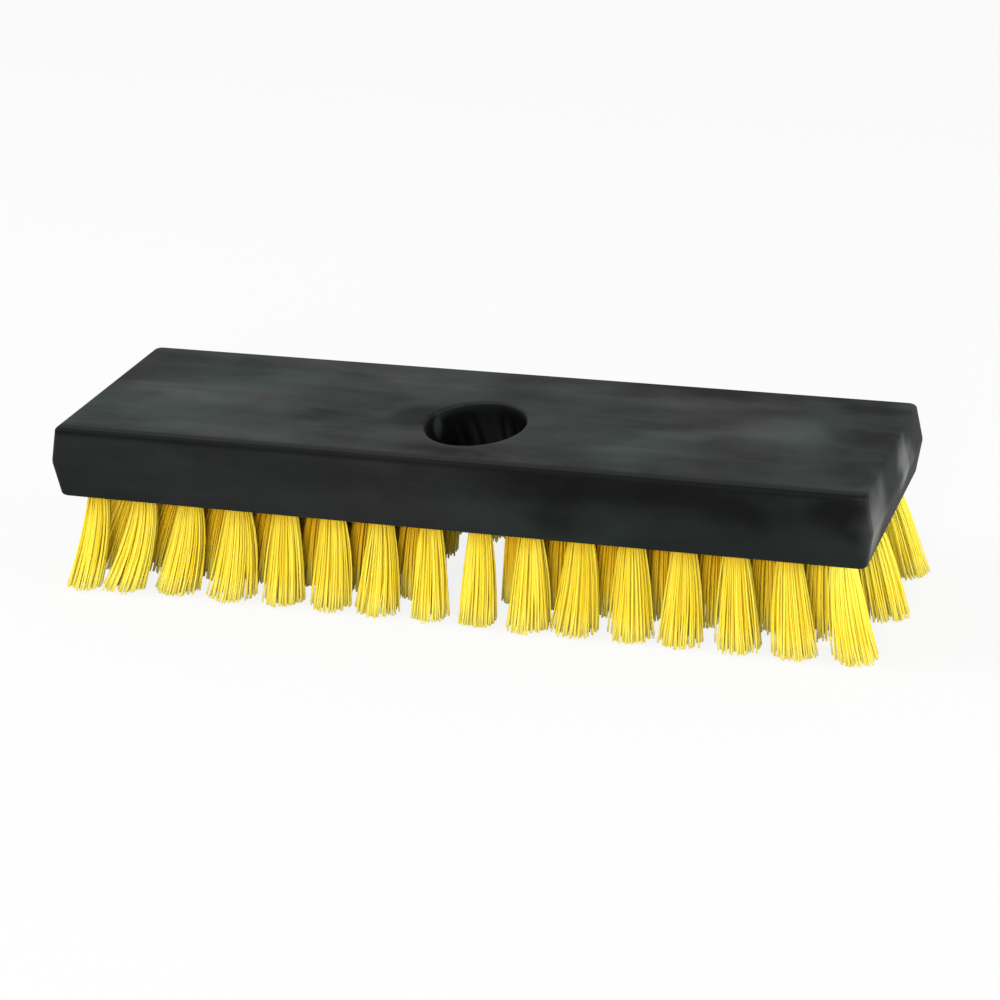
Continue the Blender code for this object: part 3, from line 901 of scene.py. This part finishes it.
def studio_floor():
    """A level square at the height of the bristle tips: matt, with a glow mixed in where seen."""
    side = np.linspace(-FLOOR_REACH, FLOOR_REACH, FLOOR_POINTS)
    x, y = np.meshgrid(side, side)
    floor = mesh_piece("floor", np.stack([x, y, 0 * x], axis=-1), [grid_faces(FLOOR_POINTS, FLOOR_POINTS)])
    material, wire = new_finish("white_floor")
    matt = wire.node("ShaderNodeBsdfDiffuse", sockets={"Color": (FLOOR_GREY, FLOOR_GREY, FLOOR_GREY, 1)})
    glow = wire.node("ShaderNodeEmission", sockets={"Color": (1, 1, 1, 1), "Strength": WHITE})
    sockets = {0: seen_directly(wire) * FLOOR_GLOW, 1: matt, 2: glow}
    floor_shader = wire.node("ShaderNodeMixShader", sockets=sockets)
    wire.node("ShaderNodeOutputMaterial", sockets={"Surface": floor_shader})
    floor.data.materials.append(material)
    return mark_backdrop(floor)


def studio_world():
    """White where it is seen, and a dim even light elsewhere."""
    world = bpy.data.worlds.new("studio")
    world.use_nodes = True
    world.node_tree.nodes.clear()
    wire = Wire(world.node_tree)
    dim, white = (wire.node("ShaderNodeBackground", sockets={"Color": (1, 1, 1, 1), "Strength": strength})
                  for strength in (DIM, WHITE))
    surface = wire.node("ShaderNodeMixShader", sockets={0: seen_directly(wire), 1: dim, 2: white})
    wire.node("ShaderNodeOutputWorld", sockets={"Surface": surface})
    bpy.context.scene.world = world


studio_floor()
studio_world()

# %% [markdown]
# ## Soft light from three sides
#
# In the photograph the left flank of every tuft is bright and the block's top is paler than its
# front, so one lamp is large, high and to the left. A second one near the camera keeps the
# bristles bright up to the block, and a third, low on the right, lights the end that faces it.

# %% Lamps
AIM = (0, 0, 0.03)  # the middle of the head
LAMPS = [  # name, place, side of the square in metres, and power in watts
    ("high on the left", (-1.0, -0.3, 1.1), 0.8, 10.5),
    ("by the camera", (0.30, -1.52, 0.62), 0.5, 17.0),
    ("right", (1.5, -0.1, 0.45), 0.7, 12.5),
]


def pose(side, up, back, place):
    """A matrix whose columns are the three directions and the place."""
    matrix = np.eye(4)
    matrix[:3, :4] = np.column_stack([side, up, back, place])
    return Matrix(matrix.tolist())


def soft_lamp(name, place, size, power):
    """A square area lamp at a place, turned to the aim."""
    data = bpy.data.lights.new(name, "AREA")
    data.shape, data.size, data.energy = "SQUARE", size, power
    lamp = bpy.data.objects.new(name, data)
    bpy.context.scene.collection.objects.link(lamp)
    way = np.array(AIM, float) - np.array(place, float)
    back = -way / np.linalg.norm(way)
    side = np.cross([0, 0, 1], back)
    side /= np.linalg.norm(side)
    lamp.matrix_world = pose(side, np.cross(back, side), back, place)
    return lamp


lamps = [soft_lamp(*values) for values in LAMPS]
print(f"{len(lamps)} lamps, {sum(lamp.data.energy for lamp in lamps):.0f} W in all")

# %% [markdown]
# ## The camera
#
# The camera was found from the block's edges in the photograph: a long lens, 23 degrees above
# the head and 20 degrees to the right of its front, rolled by a little under 3 degrees. A
# camera looks along its own negative Z, so its pose is its right, up and backward directions.

# %% Camera
AZIMUTH, ELEVATION, ROLL = (math.radians(a) for a in (19.58, 22.79, -2.75))
EYE = (0.2694, -0.7449, 0.3589)
FOCAL_PIXELS, PICTURE, SENSOR = 2815.6, 1000, 36.0

backward = np.array([math.sin(AZIMUTH) * math.cos(ELEVATION),
                     -math.cos(AZIMUTH) * math.cos(ELEVATION), math.sin(ELEVATION)])
right = np.cross([0, 0, 1], backward)
right /= np.linalg.norm(right)
up = np.cross(backward, right)
right, up = (math.cos(ROLL) * right + math.sin(ROLL) * up, -math.sin(ROLL) * right + math.cos(ROLL) * up)

camera_data = bpy.data.cameras.new("camera")
camera_data.sensor_width = SENSOR
camera_data.lens = SENSOR * FOCAL_PIXELS / PICTURE
camera = bpy.data.objects.new("camera", camera_data)
bpy.context.scene.collection.objects.link(camera)
camera.matrix_world = pose(right, up, backward, EYE)
bpy.context.scene.camera = camera
bpy.context.scene.view_settings.view_transform = "Standard"
print(f"lens of {camera_data.lens:.1f} mm")
